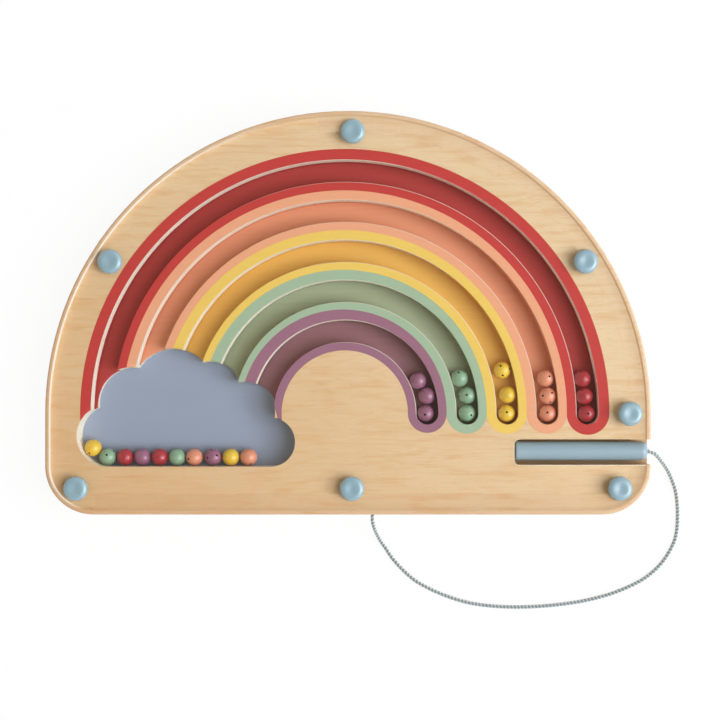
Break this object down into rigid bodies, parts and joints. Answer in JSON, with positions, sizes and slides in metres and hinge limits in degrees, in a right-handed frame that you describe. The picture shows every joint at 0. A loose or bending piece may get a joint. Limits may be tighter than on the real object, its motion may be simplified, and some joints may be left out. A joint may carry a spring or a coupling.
{
  "type": "magnetic maze board",
  "caption": "Wooden arch board with curved ball tracks that open into a cloud-shaped pocket, under a clear cover, with a magnetic wand on a cord that draws the balls.",
  "frame": {"origin": "middle of the board's outline, on its flat back", "axes": "+X to the board's right, +Y up the board towards the crown of its arch, +Z out of its face"},
  "size_m": [0.3175, 0.2495, 0.0213],
  "materials": {
    "birch": "satin varnish on a pale fine-grained wood",
    "clear_acrylic": "clear, polished",
    "blue_plastic": "moulded, satin gloss",
    "wand_plastic": "moulded, satin",
    "magnet": "nickel plated",
    "braided_cord": "braided, white with grey flecks",
    "steel": "dark steel",
    "purple_plastic": "moulded, satin",
    "green_plastic": "moulded, satin",
    "yellow_plastic": "moulded, satin",
    "orange_plastic": "moulded, satin",
    "red_plastic": "moulded, satin"
  },
  "bodies": {
    "board": {"back_panel": "birch", "track_floor_panel": "birch", "maze_panel": "birch", "clear_cover": "clear_acrylic", "cover_buttons": "blue_plastic", "tether_cord": "braided_cord"},
    "wand": {"wand_barrel": "wand_plastic", "wand_tip_cap": "wand_plastic", "wand_magnet": "magnet"},
    "purple_ball_1": {"purple_ball_1_shell": "purple_plastic", "purple_ball_1_core": "steel"},
    "purple_ball_2": {"purple_ball_2_shell": "purple_plastic", "purple_ball_2_core": "steel"},
    "purple_ball_3": {"purple_ball_3_shell": "purple_plastic", "purple_ball_3_core": "steel"},
    "purple_ball_4": {"purple_ball_4_shell": "purple_plastic", "purple_ball_4_core": "steel"},
    "purple_ball_5": {"purple_ball_5_shell": "purple_plastic", "purple_ball_5_core": "steel"},
    "green_ball_1": {"green_ball_1_shell": "green_plastic", "green_ball_1_core": "steel"},
    "green_ball_2": {"green_ball_2_shell": "green_plastic", "green_ball_2_core": "steel"},
    "green_ball_3": {"green_ball_3_shell": "green_plastic", "green_ball_3_core": "steel"},
    "green_ball_4": {"green_ball_4_shell": "green_plastic", "green_ball_4_core": "steel"},
    "green_ball_5": {"green_ball_5_shell": "green_plastic", "green_ball_5_core": "steel"},
    "yellow_ball_1": {"yellow_ball_1_shell": "yellow_plastic", "yellow_ball_1_core": "steel"},
    "yellow_ball_2": {"yellow_ball_2_shell": "yellow_plastic", "yellow_ball_2_core": "steel"},
    "yellow_ball_3": {"yellow_ball_3_shell": "yellow_plastic", "yellow_ball_3_core": "steel"},
    "yellow_ball_4": {"yellow_ball_4_shell": "yellow_plastic", "yellow_ball_4_core": "steel"},
    "yellow_ball_5": {"yellow_ball_5_shell": "yellow_plastic", "yellow_ball_5_core": "steel"},
    "orange_ball_1": {"orange_ball_1_shell": "orange_plastic", "orange_ball_1_core": "steel"},
    "orange_ball_2": {"orange_ball_2_shell": "orange_plastic", "orange_ball_2_core": "steel"},
    "orange_ball_3": {"orange_ball_3_shell": "orange_plastic", "orange_ball_3_core": "steel"},
    "orange_ball_4": {"orange_ball_4_shell": "orange_plastic", "orange_ball_4_core": "steel"},
    "orange_ball_5": {"orange_ball_5_shell": "orange_plastic", "orange_ball_5_core": "steel"},
    "red_ball_1": {"red_ball_1_shell": "red_plastic", "red_ball_1_core": "steel"},
    "red_ball_2": {"red_ball_2_shell": "red_plastic", "red_ball_2_core": "steel"},
    "red_ball_3": {"red_ball_3_shell": "red_plastic", "red_ball_3_core": "steel"},
    "red_ball_4": {"red_ball_4_shell": "red_plastic", "red_ball_4_core": "steel"},
    "red_ball_5": {"red_ball_5_shell": "red_plastic", "red_ball_5_core": "steel"}
  },
  "joints": [
    {"name": "wand_lift", "type": "slide", "parent": "board", "child": "wand", "axis": [0, 0, 1], "range_m": [0, 0.06], "deforming": ["tether_cord"]},
    {"name": "purple_ball_3_roll", "type": "hinge", "parent": "board", "child": "purple_ball_3", "pos_m": [-0.0017, -0.05, 0.01045], "axis": [0, 0, 1], "range_deg": [0, 132]},
    {"name": "purple_ball_2_roll", "type": "hinge", "parent": "board", "child": "purple_ball_2", "pos_m": [-0.0017, -0.05, 0.01045], "axis": [0, 0, 1], "range_deg": [0, 132]},
    {"name": "purple_ball_1_roll", "type": "hinge", "parent": "board", "child": "purple_ball_1", "pos_m": [-0.0017, -0.05, 0.01045], "axis": [0, 0, 1], "range_deg": [0, 132]},
    {"name": "green_ball_3_roll", "type": "hinge", "parent": "board", "child": "green_ball_3", "pos_m": [-0.0017, -0.05, 0.01045], "axis": [0, 0, 1], "range_deg": [0, 137]},
    {"name": "green_ball_2_roll", "type": "hinge", "parent": "board", "child": "green_ball_2", "pos_m": [-0.0017, -0.05, 0.01045], "axis": [0, 0, 1], "range_deg": [0, 137]},
    {"name": "green_ball_1_roll", "type": "hinge", "parent": "board", "child": "green_ball_1", "pos_m": [-0.0017, -0.05, 0.01045], "axis": [0, 0, 1], "range_deg": [0, 137]},
    {"name": "yellow_ball_3_roll", "type": "hinge", "parent": "board", "child": "yellow_ball_3", "pos_m": [-0.0017, -0.05, 0.01045], "axis": [0, 0, 1], "range_deg": [0, 139]},
    {"name": "yellow_ball_2_roll", "type": "hinge", "parent": "board", "child": "yellow_ball_2", "pos_m": [-0.0017, -0.05, 0.01045], "axis": [0, 0, 1], "range_deg": [0, 139]},
    {"name": "yellow_ball_1_roll", "type": "hinge", "parent": "board", "child": "yellow_ball_1", "pos_m": [-0.0017, -0.05, 0.01045], "axis": [0, 0, 1], "range_deg": [0, 139]},
    {"name": "orange_ball_3_roll", "type": "hinge", "parent": "board", "child": "orange_ball_3", "pos_m": [-0.0017, -0.05, 0.01045], "axis": [0, 0, 1], "range_deg": [0, 149]},
    {"name": "orange_ball_2_roll", "type": "hinge", "parent": "board", "child": "orange_ball_2", "pos_m": [-0.0017, -0.05, 0.01045], "axis": [0, 0, 1], "range_deg": [0, 149]},
    {"name": "orange_ball_1_roll", "type": "hinge", "parent": "board", "child": "orange_ball_1", "pos_m": [-0.0017, -0.05, 0.01045], "axis": [0, 0, 1], "range_deg": [0, 149]},
    {"name": "red_ball_3_roll", "type": "hinge", "parent": "board", "child": "red_ball_3", "pos_m": [-0.0017, -0.05, 0.01045], "axis": [0, 0, 1], "range_deg": [0, 159]},
    {"name": "red_ball_2_roll", "type": "hinge", "parent": "board", "child": "red_ball_2", "pos_m": [-0.0017, -0.05, 0.01045], "axis": [0, 0, 1], "range_deg": [0, 159]},
    {"name": "red_ball_1_roll", "type": "hinge", "parent": "board", "child": "red_ball_1", "pos_m": [-0.0017, -0.05, 0.01045], "axis": [0, 0, 1], "range_deg": [0, 159]},
    {"name": "yellow_ball_4_shift", "type": "slide", "parent": "board", "child": "yellow_ball_4", "axis": [0, 1, 0], "range_m": [0, 0.0115]},
    {"name": "green_ball_4_shift", "type": "slide", "parent": "board", "child": "green_ball_4", "axis": [0, 1, 0], "range_m": [0, 0.0115]},
    {"name": "red_ball_4_shift", "type": "slide", "parent": "board", "child": "red_ball_4", "axis": [0, 1, 0], "range_m": [0, 0.039]},
    {"name": "purple_ball_4_shift", "type": "slide", "parent": "board", "child": "purple_ball_4", "axis": [0, 1, 0], "range_m": [0, 0.04]},
    {"name": "red_ball_5_shift", "type": "slide", "parent": "board", "child": "red_ball_5", "axis": [0, 1, 0], "range_m": [0, 0.048]},
    {"name": "green_ball_5_shift", "type": "slide", "parent": "board", "child": "green_ball_5", "axis": [0, 1, 0], "range_m": [0, 0.049]},
    {"name": "orange_ball_4_shift", "type": "slide", "parent": "board", "child": "orange_ball_4", "axis": [0, 1, 0], "range_m": [0, 0.045]},
    {"name": "purple_ball_5_shift", "type": "slide", "parent": "board", "child": "purple_ball_5", "axis": [0, 1, 0], "range_m": [0, 0.043]},
    {"name": "yellow_ball_5_shift", "type": "slide", "parent": "board", "child": "yellow_ball_5", "axis": [0, 1, 0], "range_m": [0, 0.035]},
    {"name": "orange_ball_5_shift", "type": "slide", "parent": "board", "child": "orange_ball_5", "axis": [0, 1, 0], "range_m": [0, 0.033]}
  ],
  "couplings": [
    {"joint": "purple_ball_2_roll", "follows": "purple_ball_3_roll", "ratio": 1},
    {"joint": "purple_ball_1_roll", "follows": "purple_ball_3_roll", "ratio": 1},
    {"joint": "green_ball_2_roll", "follows": "green_ball_3_roll", "ratio": 1},
    {"joint": "green_ball_1_roll", "follows": "green_ball_3_roll", "ratio": 1},
    {"joint": "yellow_ball_2_roll", "follows": "yellow_ball_3_roll", "ratio": 1},
    {"joint": "yellow_ball_1_roll", "follows": "yellow_ball_3_roll", "ratio": 1},
    {"joint": "orange_ball_2_roll", "follows": "orange_ball_3_roll", "ratio": 1},
    {"joint": "orange_ball_1_roll", "follows": "orange_ball_3_roll", "ratio": 1},
    {"joint": "red_ball_2_roll", "follows": "red_ball_3_roll", "ratio": 1},
    {"joint": "red_ball_1_roll", "follows": "red_ball_3_roll", "ratio": 1},
    {"joint": "green_ball_4_shift", "follows": "yellow_ball_4_shift", "ratio": 1}
  ]
}
